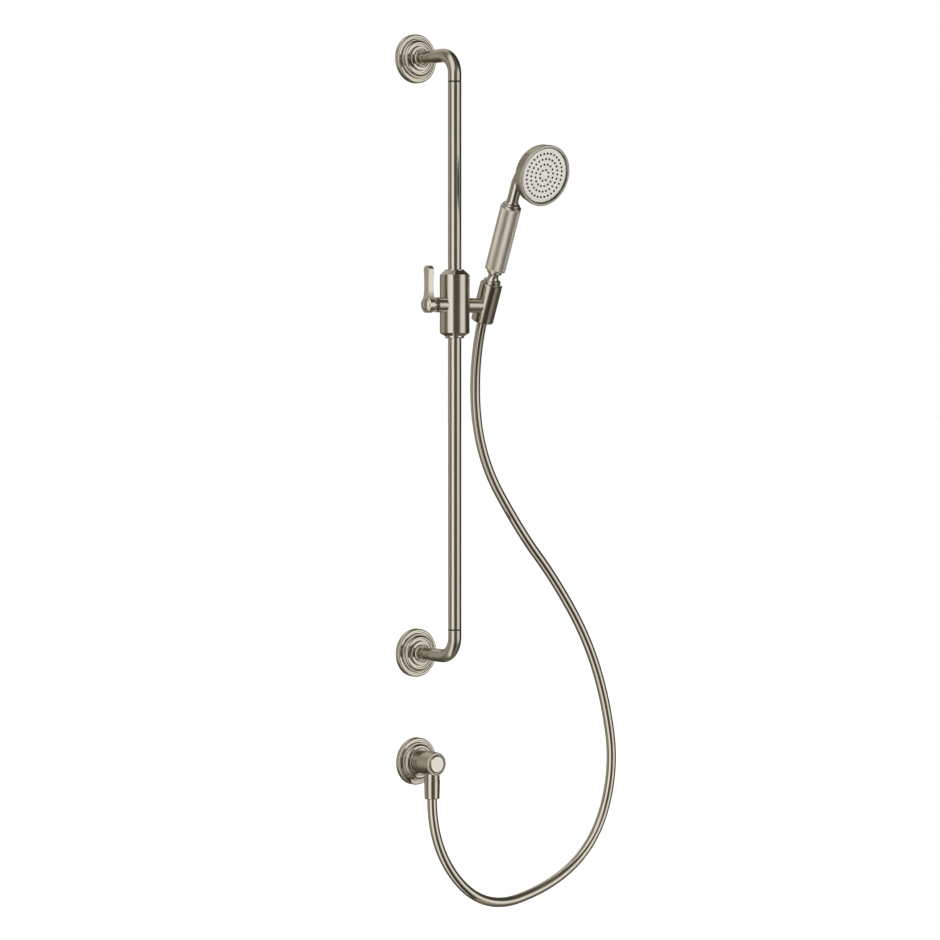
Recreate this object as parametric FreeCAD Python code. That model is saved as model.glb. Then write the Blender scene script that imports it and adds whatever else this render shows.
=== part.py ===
"""Wall-mounted slide-rail shower set: rail, sliding handset holder, handset, hose and wall outlet.

Millimetres, +Z up. The wall is the plane Y = 0 and the set stands out towards -Y. The origin is the
centre of the lower bracket on the wall. Each function makes one sub-part, and main() writes them all.
"""
import FreeCAD
import Part
import math
import os

Vec = FreeCAD.Vector
X_AXIS = Vec(1, 0, 0)
Y_AXIS = Vec(0, 1, 0)
Z_AXIS = Vec(0, 0, 1)
OUTWARD = Vec(0, -1, 0)
DOWN = Vec(0, 0, -1)
ORIGIN = Vec(0, 0, 0)

# Driving dimensions
RAIL_CENTRES = 900.0        # between the two wall brackets
BAR_OFFSET = 98.0           # bar axis from the wall
BAR_RADIUS = 10.0
BAR_WALL = 1.2
BEND_RADIUS = 30.0          # centre line of the bracket elbows
JOINT_HEIGHT = 40.2         # elbow end, from the bracket's own axis
RING_THICKNESS = 2.2        # black rings where the elbows meet the bar
PLUG_SPIGOT = 6.0           # plug radius inside the elbow
PLUG_DEPTH = 13.5

FLANGE_RADIUS = 36.7
FLANGE_ROUND = 2.3           # its outer edge
OUTLET_FLANGE_RADIUS = 36.0
ARM_ROOT_RADIUS = 8.6       # the arm where it leaves its flange
ARM_START = 5.0             # from the wall
ARM_TAPER_START = 20.0
ARM_TAPER_END = 58.0

PLATE_RADIUS = 26.0
PLATE_THICKNESS = 4.0
POST_RADIUS = 5.5
POST_END = 34.0
PLATE_HOLE_RADIUS = 2.6
PLATE_HOLE_CIRCLE = 17.0
GRUB_RADIUS = 2.0
BRACKET_GRUB_Y = 29.0

OUTLET_DROP = 165.4         # outlet axis below the lower bracket
BARREL_RADIUS = 18.0
BARREL_FRONT = 54.6
SPOUT_Y = 42.8
SPOUT_RADIUS = 11.5
SPOUT_END = 24.6            # below the outlet axis
NUT_LENGTH = 29.0
NUT_TOP_RADIUS = 12.0
NUT_END_RADIUS = 11.4
CAP_FLOOR = 50.5            # bottom of the recess in the barrel's front
CAP_FRONT = 56.0
CAP_RADIUS = 12.9
CAP_GROOVE = 15.7
CAP_SPIGOT = 6.0
VALVE_RADIUS = 6.9
VALVE_LENGTH = 17.5
SPRING_RADIUS = 3.2
SPRING_WIRE = 0.35
SPRING_TURNS = 5
THREAD_RADIUS = 10.4        # G1/2 male
THREAD_LENGTH = 12.0
THREAD_BORE = 10.5          # G1/2 female, drawn clear of the male thread
INLET_RADIUS = 9.3          # G1/2 female, minor radius
INLET_DEPTH = 14.0

HOSE_RADIUS = 7.5
SLEEVE_RADIUS = 7.6         # crimped end fittings of the hose
AXIS_Z = 526.5              # clamp lever and holder pivot axis, at rest
SLIDER_RADIUS = 22.2
SLIDER_UP = 53.0
SLIDER_DOWN = 48.0
SLIDER_CHAMFER = 7.2
SLIDER_BORE = 11.9
LINER_INNER = 10.07
LINER_OUTER = 11.6
LINER_UP = 44.0
LINER_DOWN = 39.0
BUSH_INNER = 10.07
BUSH_RADIUS = 14.6

BOSS_RADIUS = 11.2
BOSS_END = 36.0             # from the bar axis
HUB_START = 44.5
HUB_END = 55.6
HUB_SEAT = 52.2              # where the fixing screw's head bears
HUB_RADIUS = 11.9
LEVER_WIDTH = 12.2
LEVER_BACK = 43.9
LEVER_FRONT = 54.2
LEVER_TIP = 58.0
SCREW_RADIUS = 5.0
HUB_BORE = 4.0
FIXING_RADIUS = 1.9
CAP_SEAT = 9.0
CAP_DOME = 2.9
PAD_RADIUS = 7.7
PAD_BACK = 20.3
PAD_GAP = 0.1                # to the liner
PAD_TRAVEL = 0.8             # room behind the pad when the clamp is open

STUB_RADIUS = 11.0
SOCKET_CLEARANCE = 0.3
SOCKET_FLOOR = 14.4
PIVOT_GRUB_X = 18.2
PIVOT_GRUB_RADIUS = 1.7
HOLDER_X = 60.0
HOLDER_TILT = 22.1          # degrees, top leaning away from the wall
HOLDER_RADIUS = 16.8
HOLDER_BORE = 14.0
HOLDER_THROAT = 11.5
HOLDER_UP = 35.6
HOLDER_DOWN = 24.6
HOLDER_SLOT = 16.4

# The handset is drawn upright on the holder axis and faces -Y; heights are from the pivot axis.
NUT_SEAT = HOLDER_UP + 0.2
NUT_COLLAR = 13.0
CONE_TOP = 11.8
CONE_END = 9.6
COLLAR_TOP = 41.4
NUT_BOTTOM = -4.0
CONNECTOR_TOP = 57.0
GRIP_BOTTOM = 57.2
GRIP_TOP = 156.5
GRIP_RADIUS = 15.7
GRIP_BORE = 12.0
CORE_RADIUS = 7.0
CORE_BOTTOM = 49.0
CORE_TOP = 160.0
NECK_START = 161.7
NECK_RADIUS = 8.5
HEAD_AXIS_RISE = 6.0        # degrees that the face looks up, against the grip
HEAD_HEIGHT = 226.2         # centre of the rim, along the grip
HEAD_FORWARD = 57.7         # centre of the rim, in front of the grip axis
HEAD_RADIUS = 45.6
HEAD_DEPTH = 20.0
NECK_END_DEPTH = 18.0
NECK_BEND = 30.0
NOZZLES_PER_RING = 8
NOZZLE_RING_STEP = 8.2
NOZZLE_RING_STARTS = (34.0, 12.8, 5.7, 2.1)      # degrees, innermost ring first
NOZZLE_RADIUS = 1.6

# Places worked out from the dimensions above
OUTLET = Vec(0, 0, -OUTLET_DROP)
SPOUT = OUTLET + OUTWARD * SPOUT_Y
NUT_TOP = SPOUT + DOWN * SPOUT_END
VALVE_TOP = NUT_TOP + DOWN * (THREAD_LENGTH - VALVE_LENGTH - 0.5)
BAR_AXIS = Vec(0, -BAR_OFFSET, AXIS_Z)
PIVOT_GRUB = BAR_AXIS + X_AXIS * PIVOT_GRUB_X + Y_AXIS * 12.6

# The hose as it hangs, from the holder down to the outlet: turning points between its two ends.
HOSE_ROUTE = [
    (77, -59, 301),
    (156, -64, 181),
    (220, -66, 110),
    (286, -69, 14),
    (326, -69, -87),
    (346, -67, -197),
    (315, -62, -306),
    (231, -59, -371),
    (93, -53, -400),
]
HOSE_FIRST_RUN = 79.0
HOSE_LAST_RUN = 77.0


# Helpers

def lathe(outline):
    """A solid turned about Z. A step of two numbers is a (radius, height) corner, and a step of
    four is an arc through the first pair that ends at the second."""
    edges = []
    here = outline[0]
    for step in outline[1:] + outline[:1]:
        start = Vec(here[0], 0, here[1])
        end = Vec(step[-2], 0, step[-1])
        if len(step) == 4:
            middle = Vec(step[0], 0, step[1])
            edges.append(Part.Arc(start, middle, end).toShape())
        else:
            edges.append(Part.LineSegment(start, end).toShape())
        here = step[-2:]
    face = Part.Face(Part.Wire(edges))
    return face.revolve(ORIGIN, Z_AXIS, 360)


def aimed(shape, base, direction):
    """The shape with its own Z laid along direction and its origin at base."""
    moved = shape.copy()
    place = FreeCAD.Placement(base, FreeCAD.Rotation(Z_AXIS, direction))
    moved.Placement = place.multiply(moved.Placement)
    return moved


def turned(outline, base, direction):
    return aimed(lathe(outline), base, direction)


def rod(radius, base, direction, length):
    return Part.makeCylinder(radius, length, base, direction)


def tube(outer, inner, base, direction, length):
    return rod(outer, base, direction, length).cut(rod(inner, base, direction, length))


def o_ring(centre_radius, section, base, direction):
    return aimed(Part.makeTorus(centre_radius, section), base, direction)


def on_circle(radius, count, start=90.0):
    """Evenly spaced (x, y) places on a circle."""
    angles = [math.radians(start + 360.0 * step / count) for step in range(count)]
    return [(radius * math.cos(angle), radius * math.sin(angle)) for angle in angles]


def grub_screw(radius, base, direction, length):
    """A headless screw with a hexagon socket in its outer end, which is at base."""
    corners = [Vec(x, y, 0) for x, y in on_circle(0.55 * radius, 6)]
    socket = Part.Face(Part.makePolygon(corners + corners[:1])).extrude(Z_AXIS * (0.5 * length))
    return rod(radius, base, direction, length).cut(aimed(socket, base, direction))


def mirrored_up(shape):
    """The upper bracket's copy of a lower bracket piece."""
    return shape.mirror(Vec(0, 0, RAIL_CENTRES / 2), Z_AXIS)


def on_handset(shape):
    """Leans a shape that was drawn upright, and puts it on the holder's pivot axis."""
    moved = shape.copy()
    turn = FreeCAD.Placement(BAR_AXIS + X_AXIS * HOLDER_X, FreeCAD.Rotation(X_AXIS, HOLDER_TILT))
    moved.Placement = turn.multiply(moved.Placement)
    return moved


# Wall brackets and bar

def wall_plate():
    plate = rod(PLATE_RADIUS, ORIGIN, OUTWARD, PLATE_THICKNESS)
    plate = plate.fuse(rod(POST_RADIUS, ORIGIN, OUTWARD, POST_END))
    for x, z in on_circle(PLATE_HOLE_CIRCLE, 3):
        plate = plate.cut(rod(PLATE_HOLE_RADIUS, Vec(x, 0, z), OUTWARD, PLATE_THICKNESS))
    dimple = rod(GRUB_RADIUS + 0.2, Vec(0, -BRACKET_GRUB_Y, -POST_RADIUS - 1), Z_AXIS, 1.7)
    return plate.cut(dimple).removeSplitter()


def bracket_flange():
    """Stepped round cover over the wall plate, hollow behind, with a bead round the arm."""
    bore = ARM_ROOT_RADIUS + 0.05
    outline = [
        (bore, 11.4), (23.5, 11.4), (28.8, 5.4), (28.8, 0), (FLANGE_RADIUS, 0),
        (FLANGE_RADIUS, 8.3 - FLANGE_ROUND), (FLANGE_RADIUS - 0.7, 7.6, FLANGE_RADIUS - FLANGE_ROUND, 8.3),
        (32.6, 8.3), (31.8, 7.0), (30.3, 7.0), (29.7, 9.2), (29.2, 10.2, 28.2, 10.5),
        (26.2, 11.2, 25.0, 13.2), (24.7, 14.2, 23.8, 14.5), (22.4, 14.5), (21.6, 13.0), (19.4, 13.0),
        (18.5, 16.6), (18.1, 17.3, 17.3, 17.5), (14.9, 17.7), (14.2, 16.6), (13.2, 16.6),
        (13.2, 18.2), (11.2, 20.2, 9.2, 18.4), (bore, 18.4),
    ]
    return turned(outline, ORIGIN, OUTWARD)


def elbow():
    """Tapered arm, quarter bend and short leg, bored for the wall post and for the bar's plug."""
    bend_start = BAR_OFFSET - BEND_RADIUS
    root = rod(ARM_ROOT_RADIUS, Vec(0, -ARM_START, 0), OUTWARD, ARM_TAPER_START - ARM_START)
    taper = Part.makeCone(ARM_ROOT_RADIUS, BAR_RADIUS, ARM_TAPER_END - ARM_TAPER_START,
                          Vec(0, -ARM_TAPER_START, 0), OUTWARD)
    arm = rod(BAR_RADIUS, Vec(0, -ARM_TAPER_END, 0), OUTWARD, bend_start - ARM_TAPER_END)
    section = Part.Face(Part.Wire(Part.makeCircle(BAR_RADIUS, Vec(0, -bend_start, 0), OUTWARD)))
    bend = section.revolve(Vec(0, -bend_start, BEND_RADIUS), -X_AXIS, 90)
    leg = rod(BAR_RADIUS, Vec(0, -BAR_OFFSET, BEND_RADIUS), Z_AXIS, JOINT_HEIGHT - BEND_RADIUS)
    body = root.fuse([taper, arm, bend, leg]).removeSplitter()
    post_bore = rod(POST_RADIUS + 0.05, Vec(0, -ARM_START, 0), OUTWARD, POST_END + 1 - ARM_START)
    plug_bore = rod(PLUG_SPIGOT + 0.05, Vec(0, -BAR_OFFSET, JOINT_HEIGHT), DOWN, PLUG_DEPTH + 0.5)
    grub_bore = rod(GRUB_RADIUS + 0.05, Vec(0, -BRACKET_GRUB_Y, -BAR_RADIUS), Z_AXIS, BAR_RADIUS / 2)
    return body.cut([post_bore, plug_bore, grub_bore])


def bracket_grub():
    start = Vec(0, -BRACKET_GRUB_Y, -9.0)
    return grub_screw(GRUB_RADIUS, start, Z_AXIS, 4.0)


def joint_ring():
    base = Vec(0, -BAR_OFFSET, JOINT_HEIGHT)
    return tube(BAR_RADIUS - 0.1, PLUG_SPIGOT + 0.05, base, Z_AXIS, RING_THICKNESS)


def joint_plug():
    """Stepped plug that joins the elbow's leg to the bar tube."""
    step = JOINT_HEIGHT + RING_THICKNESS
    spigot = rod(PLUG_SPIGOT, Vec(0, -BAR_OFFSET, step - RING_THICKNESS - PLUG_DEPTH), Z_AXIS,
                 PLUG_DEPTH + RING_THICKNESS)
    barrel = rod(BAR_RADIUS - BAR_WALL - 0.05, Vec(0, -BAR_OFFSET, step), Z_AXIS, 20.0)
    return spigot.fuse(barrel)


def slide_bar():
    bottom = JOINT_HEIGHT + RING_THICKNESS
    base = Vec(0, -BAR_OFFSET, bottom)
    return tube(BAR_RADIUS, BAR_RADIUS - BAR_WALL, base, Z_AXIS, RAIL_CENTRES - 2 * bottom)


# Wall outlet

def outlet_flange():
    bore = BARREL_RADIUS + 0.1
    outline = [
        (bore, 0), (OUTLET_FLANGE_RADIUS, 0), (OUTLET_FLANGE_RADIUS, 8.0 - FLANGE_ROUND),
        (OUTLET_FLANGE_RADIUS - 0.7, 7.3, OUTLET_FLANGE_RADIUS - FLANGE_ROUND, 8.0), (32.0, 8.0),
        (31.2, 6.8), (29.7, 6.8), (29.1, 8.9), (28.6, 9.8, 27.6, 10.1), (25.8, 10.8, 24.7, 12.8),
        (24.4, 13.8, 23.5, 14.1), (22.0, 14.1), (21.2, 12.8), (20.5, 12.8), (20.1, 14.6),
        (19.7, 15.5, 18.8, 15.7), (bore, 15.7),
    ]
    return turned(outline, OUTLET, OUTWARD)


def outlet_flange_seal():
    return o_ring(17.15, 0.88, OUTLET + OUTWARD * 9.2, OUTWARD)


def outlet_body():
    """Barrel with a blind water way, a recessed front, and a spout that ends in a male thread."""
    outline = [
        (0, 47.0), (6.5, 47.0), (6.5, INLET_DEPTH), (INLET_RADIUS, INLET_DEPTH), (INLET_RADIUS, 0),
        (BARREL_RADIUS, 0), (BARREL_RADIUS, 8.0), (16.2, 8.0), (16.2, 10.4), (BARREL_RADIUS, 10.4),
        (BARREL_RADIUS, BARREL_FRONT - 1.6), (17.6, BARREL_FRONT - 0.4, 16.5, BARREL_FRONT),
        (CAP_GROOVE, BARREL_FRONT), (CAP_GROOVE, CAP_FLOOR), (CAP_SPIGOT + 0.05, CAP_FLOOR),
        (CAP_SPIGOT + 0.05, CAP_FLOOR - 2.5), (0, CAP_FLOOR - 2.5),
    ]
    barrel = turned(outline, OUTLET, OUTWARD)
    spout = rod(SPOUT_RADIUS, SPOUT, DOWN, SPOUT_END)
    thread = rod(THREAD_RADIUS, SPOUT + DOWN * SPOUT_END, DOWN, THREAD_LENGTH)
    keep_out = rod(BARREL_RADIUS - 1.5, OUTLET, OUTWARD, BARREL_FRONT + 1)
    branch = spout.fuse(thread).cut(keep_out)
    valve_bore = rod(VALVE_RADIUS + 0.1, SPOUT + DOWN * (SPOUT_END + THREAD_LENGTH), -DOWN, 20.0)
    water_way = rod(5.0, SPOUT, DOWN, SPOUT_END)
    return barrel.fuse(branch).cut([valve_bore, water_way]).removeSplitter()


def outlet_cap():
    outline = [
        (0, CAP_FLOOR - 2.4), (CAP_SPIGOT, CAP_FLOOR - 2.4), (CAP_SPIGOT, CAP_FLOOR),
        (CAP_RADIUS, CAP_FLOOR), (CAP_RADIUS, CAP_FRONT - 1.1), (CAP_RADIUS - 1.3, CAP_FRONT),
        (0, CAP_FRONT),
    ]
    return turned(outline, OUTLET, OUTWARD)


def outlet_cap_ring():
    section = (CAP_GROOVE - CAP_RADIUS) / 2 - 0.08
    centre = (CAP_GROOVE + CAP_RADIUS) / 2
    return o_ring(centre, section, OUTLET + OUTWARD * (CAP_FLOOR + section + 0.02), OUTWARD)


def check_valve_cage():
    """Open-ended cage with a flat seat at its inlet and a guided, pierced floor."""
    outline = [
        (1.6, VALVE_LENGTH - 2.5), (5.5, VALVE_LENGTH - 2.5), (5.5, 2.5), (3.9, 2.5), (3.9, 0),
        (VALVE_RADIUS, 0), (VALVE_RADIUS, VALVE_LENGTH), (1.6, VALVE_LENGTH),
    ]
    cage = turned(outline, VALVE_TOP, DOWN)
    for x, y in on_circle(3.6, 4):
        cage = cage.cut(rod(1.2, VALVE_TOP + Vec(x, y, -VALVE_LENGTH - 1), Z_AXIS, 5.0))
    return cage


def check_valve_poppet():
    disc = rod(4.8, VALVE_TOP + DOWN * 2.6, DOWN, 1.5)
    return disc.fuse(rod(1.3, VALVE_TOP + DOWN * 4.0, DOWN, VALVE_LENGTH - 5.0))


def check_valve_spring():
    length = VALVE_LENGTH - 2.5 - 4.1 - 2 * SPRING_WIRE - 0.1
    helix = Part.makeHelix(length / SPRING_TURNS, length, SPRING_RADIUS)
    start = Part.Wire(Part.makeCircle(SPRING_WIRE, Vec(SPRING_RADIUS, 0, 0), Y_AXIS))
    coil = Part.Wire(helix).makePipeShell([start], True, True)
    return aimed(coil, VALVE_TOP + DOWN * (4.1 + SPRING_WIRE + 0.05), DOWN)


def hose_nut_lower():
    outline = [
        (THREAD_BORE, 0.1), (NUT_TOP_RADIUS - 0.3, 0.1), (NUT_TOP_RADIUS, 0.5),
        (NUT_END_RADIUS, NUT_LENGTH - 2.0), (NUT_END_RADIUS - 0.5, NUT_LENGTH - 0.5, 9.8, NUT_LENGTH),
        (SLEEVE_RADIUS + 0.5, NUT_LENGTH), (SLEEVE_RADIUS + 0.5, 16.4), (THREAD_BORE, 16.4),
    ]
    return turned(outline, NUT_TOP, DOWN)


def hose_washer_lower():
    return tube(9.8, 5.0, NUT_TOP + DOWN * (THREAD_LENGTH + 0.05), DOWN, 2.45)


def hose_ferrule_lower():
    """Flanged end fitting crimped on the hose, held by the nut's inner shoulder."""
    outline = [
        (4.2, 14.6), (10.1, 14.6), (10.1, 16.35), (SLEEVE_RADIUS, 16.35),
        (SLEEVE_RADIUS, NUT_LENGTH), (4.2, NUT_LENGTH),
    ]
    return turned(outline, NUT_TOP, DOWN)


# Hose

def hose_points():
    """Turning points of the hose, from the fitting in the holder to the fitting at the outlet."""
    lean = math.radians(HOLDER_TILT)
    along = Vec(0, -math.sin(lean), math.cos(lean))
    start = Vec(HOLDER_X, -BAR_OFFSET, AXIS_Z) + along * NUT_BOTTOM
    end = NUT_TOP + DOWN * NUT_LENGTH
    middle = [Vec(x, y, z) for x, y, z in HOSE_ROUTE]
    return [start, start - along * HOSE_FIRST_RUN] + middle + [end + DOWN * HOSE_LAST_RUN, end]


def hose_path(points):
    """Straight runs joined by tangent arcs, each as large as its two runs allow."""
    edges = []
    here = points[0]
    for before, corner, after in zip(points, points[1:], points[2:]):
        into = corner - before
        out = after - corner
        half_turn = into.getAngle(out) / 2
        reach = 0.45 * min(into.Length, out.Length)
        radius = reach / math.tan(half_turn)
        print("hose bend radius", round(radius), "mm, turn", round(math.degrees(2 * half_turn)))
        into.normalize()
        out.normalize()
        inward = out - into
        inward.normalize()
        first = corner - into * reach
        last = corner + out * reach
        middle = corner + inward * (radius / math.cos(half_turn) - radius)
        edges.append(Part.LineSegment(here, first).toShape())
        edges.append(Part.Arc(first, middle, last).toShape())
        here = last
    edges.append(Part.LineSegment(here, points[-1]).toShape())
    return Part.Wire(edges)


def shower_hose():
    points = hose_points()
    path = hose_path(points)
    section = Part.Wire(Part.makeCircle(HOSE_RADIUS, points[0], points[1] - points[0]))
    hose = path.makePipeShell([section], True, False)
    expected = math.pi * HOSE_RADIUS ** 2 * path.Length
    print("hose length", round(path.Length), "mm, volume ratio", round(hose.Volume / expected, 4))
    return hose


# Slider

def guide_liner():
    """Split plastic sleeve on the bar: it slides, and the slider body turns round it."""
    base = BAR_AXIS + DOWN * LINER_DOWN
    liner = tube(LINER_OUTER, LINER_INNER, base, Z_AXIS, LINER_DOWN + LINER_UP)
    slit = Part.makeBox(3.0, LINER_OUTER * 2, LINER_DOWN + LINER_UP, base - X_AXIS * 1.5)
    return liner.cut(slit)


def slider_body():
    outline = [
        (SLIDER_BORE, -SLIDER_DOWN + 2.0), (SLIDER_RADIUS - SLIDER_CHAMFER, -SLIDER_DOWN + 2.0),
        (SLIDER_RADIUS, -SLIDER_DOWN + 6.5), (SLIDER_RADIUS, SLIDER_UP - 8.0),
        (SLIDER_RADIUS - SLIDER_CHAMFER, SLIDER_UP - 1.6), (SLIDER_BORE, SLIDER_UP - 1.6),
    ]
    body = turned(outline, BAR_AXIS, Z_AXIS)
    socket = rod(STUB_RADIUS + SOCKET_CLEARANCE, BAR_AXIS + X_AXIS * SOCKET_FLOOR, X_AXIS, SLIDER_RADIUS)
    pad_bore = rod(PAD_RADIUS + 0.3, BAR_AXIS - X_AXIS * 8.0, -X_AXIS, PAD_BACK - 8.0)
    screw_bore = rod(SCREW_RADIUS + 0.3, BAR_AXIS, -X_AXIS, SLIDER_RADIUS + 1)
    grub_bore = rod(PIVOT_GRUB_RADIUS + 0.05, PIVOT_GRUB, -Y_AXIS, 6.0)
    return body.cut([socket, pad_bore, screw_bore, grub_bore])


def slider_upper_bush():
    outline = [
        (BUSH_INNER, SLIDER_UP - 8.0), (SLIDER_BORE - 0.05, SLIDER_UP - 8.0),
        (SLIDER_BORE - 0.05, SLIDER_UP - 1.6), (BUSH_RADIUS, SLIDER_UP - 1.6),
        (BUSH_RADIUS, SLIDER_UP - 0.5), (BUSH_RADIUS - 0.5, SLIDER_UP), (BUSH_INNER, SLIDER_UP),
    ]
    return turned(outline, BAR_AXIS, Z_AXIS)


def slider_lower_bush():
    floor = -SLIDER_DOWN - 1.5
    outline = [
        (BUSH_INNER, floor), (BUSH_RADIUS - 2.0, floor),
        (BUSH_RADIUS - 0.8, floor + 0.7, BUSH_RADIUS - 0.4, floor + 2.0),
        (BUSH_RADIUS - 0.4, -SLIDER_DOWN + 2.0), (SLIDER_BORE - 0.05, -SLIDER_DOWN + 2.0),
        (SLIDER_BORE - 0.05, -SLIDER_DOWN + 8.0), (BUSH_INNER, -SLIDER_DOWN + 8.0),
    ]
    return turned(outline, BAR_AXIS, Z_AXIS)


def clamp_boss():
    """Short round boss on the slider's side, shaped to the slider and bored for the clamp screw."""
    boss = rod(BOSS_RADIUS, BAR_AXIS - X_AXIS * BOSS_END, X_AXIS, BOSS_END)
    slider = rod(SLIDER_RADIUS + 0.02, BAR_AXIS - Z_AXIS * 30, Z_AXIS, 60)
    bore = rod(SCREW_RADIUS + 0.3, BAR_AXIS - X_AXIS * BOSS_END, X_AXIS, BOSS_END)
    return boss.cut([slider, bore])


def brake_pad():
    """Nylon plug that the screw drives against the liner, hollowed to the liner's curve."""
    pad = rod(PAD_RADIUS, BAR_AXIS - X_AXIS * 8.0, -X_AXIS, PAD_BACK - 8.0 - PAD_TRAVEL)
    return pad.cut(rod(LINER_OUTER + PAD_GAP, BAR_AXIS - Z_AXIS * 20, Z_AXIS, 40))


def clamp_screw():
    outline = [
        (0, PAD_BACK + 0.3), (SCREW_RADIUS, PAD_BACK + 0.3), (SCREW_RADIUS, BOSS_END + 0.4),
        (6.0, BOSS_END + 0.4), (6.6, BOSS_END + 2.0), (6.0, BOSS_END + 4.0), (5.6, HUB_START - 3.0),
        (6.4, HUB_START), (HUB_BORE, HUB_START), (HUB_BORE, HUB_SEAT),
        (FIXING_RADIUS + 0.05, HUB_SEAT), (FIXING_RADIUS + 0.05, HUB_START - 3.0),
        (0, HUB_START - 3.0),
    ]
    return turned(outline, BAR_AXIS, -X_AXIS)


def clamp_lever():
    """Round hub with a flat arm that narrows to a waist and swells to a rounded tip."""
    hub_outline = [
        (HUB_BORE + 0.05, HUB_START), (HUB_RADIUS - 0.8, HUB_START), (HUB_RADIUS, HUB_START + 0.8),
        (HUB_RADIUS, HUB_END - 1.4), (HUB_RADIUS - 1.4, HUB_END), (CAP_SEAT + 0.05, HUB_END),
        (CAP_SEAT + 0.05, HUB_END - 1.5), (HUB_BORE + 0.35, HUB_END - 1.5),
        (HUB_BORE + 0.35, HUB_SEAT), (HUB_BORE + 0.05, HUB_SEAT),
    ]
    hub = turned(hub_outline, BAR_AXIS, -X_AXIS)
    half = LEVER_WIDTH / 2
    waist = half - 0.9
    sides = []
    for side in (-1, 1):
        foot = Vec(-LEVER_BACK, side * (half + 1.6), CAP_SEAT + 0.4)
        middle = Vec(-LEVER_BACK, side * waist, 30.0)
        shoulder = Vec(-LEVER_BACK, side * (half + 0.2), LEVER_TIP - 6.5)
        lower = Part.Arc(foot, Vec(-LEVER_BACK, side * (waist + 0.5), 19.0), middle).toShape()
        upper = Part.Arc(middle, Vec(-LEVER_BACK, side * (waist + 0.3), 41.0), shoulder).toShape()
        sides.append((foot, shoulder, lower, upper))
    (foot_a, top_a, lower_a, upper_a), (foot_b, top_b, lower_b, upper_b) = sides
    tip = Part.Arc(top_a, Vec(-LEVER_BACK, 0, LEVER_TIP), top_b).toShape()
    base = Part.LineSegment(foot_b, foot_a).toShape()
    face = Part.Face(Part.Wire(Part.__sortEdges__([lower_a, upper_a, tip, upper_b, lower_b, base])))
    arm = face.extrude(Vec(LEVER_BACK - LEVER_FRONT, 0, 0))
    arm = arm.makeFillet(1.1, [edge for edge in arm.Edges if is_outline_edge(edge)])
    arm.translate(BAR_AXIS)
    return hub.fuse(arm).removeSplitter()


def is_outline_edge(edge):
    """True for the long edges round the lever arm's two flat faces, away from the hub."""
    box = edge.BoundBox
    return box.XLength < 0.01 and box.ZMax > 20.0


def lever_fixing_screw():
    head = grub_screw(HUB_BORE, BAR_AXIS - X_AXIS * (HUB_END - 1.6), X_AXIS, 1.75)
    return head.fuse(rod(FIXING_RADIUS, BAR_AXIS - X_AXIS * (HUB_SEAT + 0.1), X_AXIS, 9.7))


def lever_cap():
    """Domed disc pressed into the hub."""
    top = HUB_END + CAP_DOME
    sphere_radius = (CAP_SEAT ** 2 + CAP_DOME ** 2) / (2 * CAP_DOME)
    disc = rod(CAP_SEAT, BAR_AXIS - X_AXIS * (HUB_END - 1.45), -X_AXIS, CAP_DOME + 2.0)
    return disc.common(Part.makeSphere(sphere_radius, BAR_AXIS - X_AXIS * (top - sphere_radius)))


# Handset holder

def pivot_friction_washer():
    return tube(STUB_RADIUS - 0.2, 4.0, BAR_AXIS + X_AXIS * (SOCKET_FLOOR + 0.05), X_AXIS, 1.45)


def pivot_grub_screw():
    return grub_screw(PIVOT_GRUB_RADIUS, PIVOT_GRUB, -Y_AXIS, 4.6)


def pivot_stub():
    """Round arm from the slider's socket to the holder, with a groove that the grub screw rides in."""
    start = SOCKET_FLOOR + 1.8
    stub = rod(STUB_RADIUS, BAR_AXIS + X_AXIS * start, X_AXIS, HOLDER_X - start)
    groove = tube(STUB_RADIUS + 1, 7.6, BAR_AXIS + X_AXIS * (PIVOT_GRUB_X - 2.0), X_AXIS, 4.0)
    saddle = on_handset(rod(HOLDER_RADIUS + 0.02, DOWN * 60, Z_AXIS, 120))
    return stub.cut([groove, saddle])


def holder_slot():
    """The way out for the hose, on the side away from the slider."""
    return Part.makeBox(HOLDER_RADIUS * 2, HOLDER_SLOT, 100.0, Vec(0, -HOLDER_SLOT / 2, -50.0))


def handset_holder():
    outline = [
        (HOLDER_THROAT, -HOLDER_DOWN), (HOLDER_RADIUS - 1.0, -HOLDER_DOWN),
        (HOLDER_RADIUS, -HOLDER_DOWN + 1.0), (HOLDER_RADIUS, HOLDER_UP - 0.8),
        (HOLDER_RADIUS - 0.8, HOLDER_UP), (HOLDER_BORE, HOLDER_UP), (HOLDER_BORE, -6.0),
        (HOLDER_THROAT, -6.0),
    ]
    return on_handset(lathe(outline).cut(holder_slot()))


def holder_insert():
    """Plastic lining with the tapered bore that the hose nut drops into."""
    outline = [
        (CONE_END + 0.3, -5.9), (HOLDER_BORE - 0.05, -5.9), (HOLDER_BORE - 0.05, HOLDER_UP - 0.3),
        (CONE_TOP + 0.35, HOLDER_UP - 0.3), (CONE_END + 0.35, NUT_BOTTOM),
    ]
    return on_handset(lathe(outline).cut(holder_slot()))


def hose_ferrule_upper():
    outline = [
        (4.2, NUT_BOTTOM), (SLEEVE_RADIUS, NUT_BOTTOM), (SLEEVE_RADIUS, 23.1), (9.0, 23.1), (9.0, 24.6),
        (4.2, 24.6),
    ]
    return on_handset(lathe(outline))


# Handset

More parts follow.
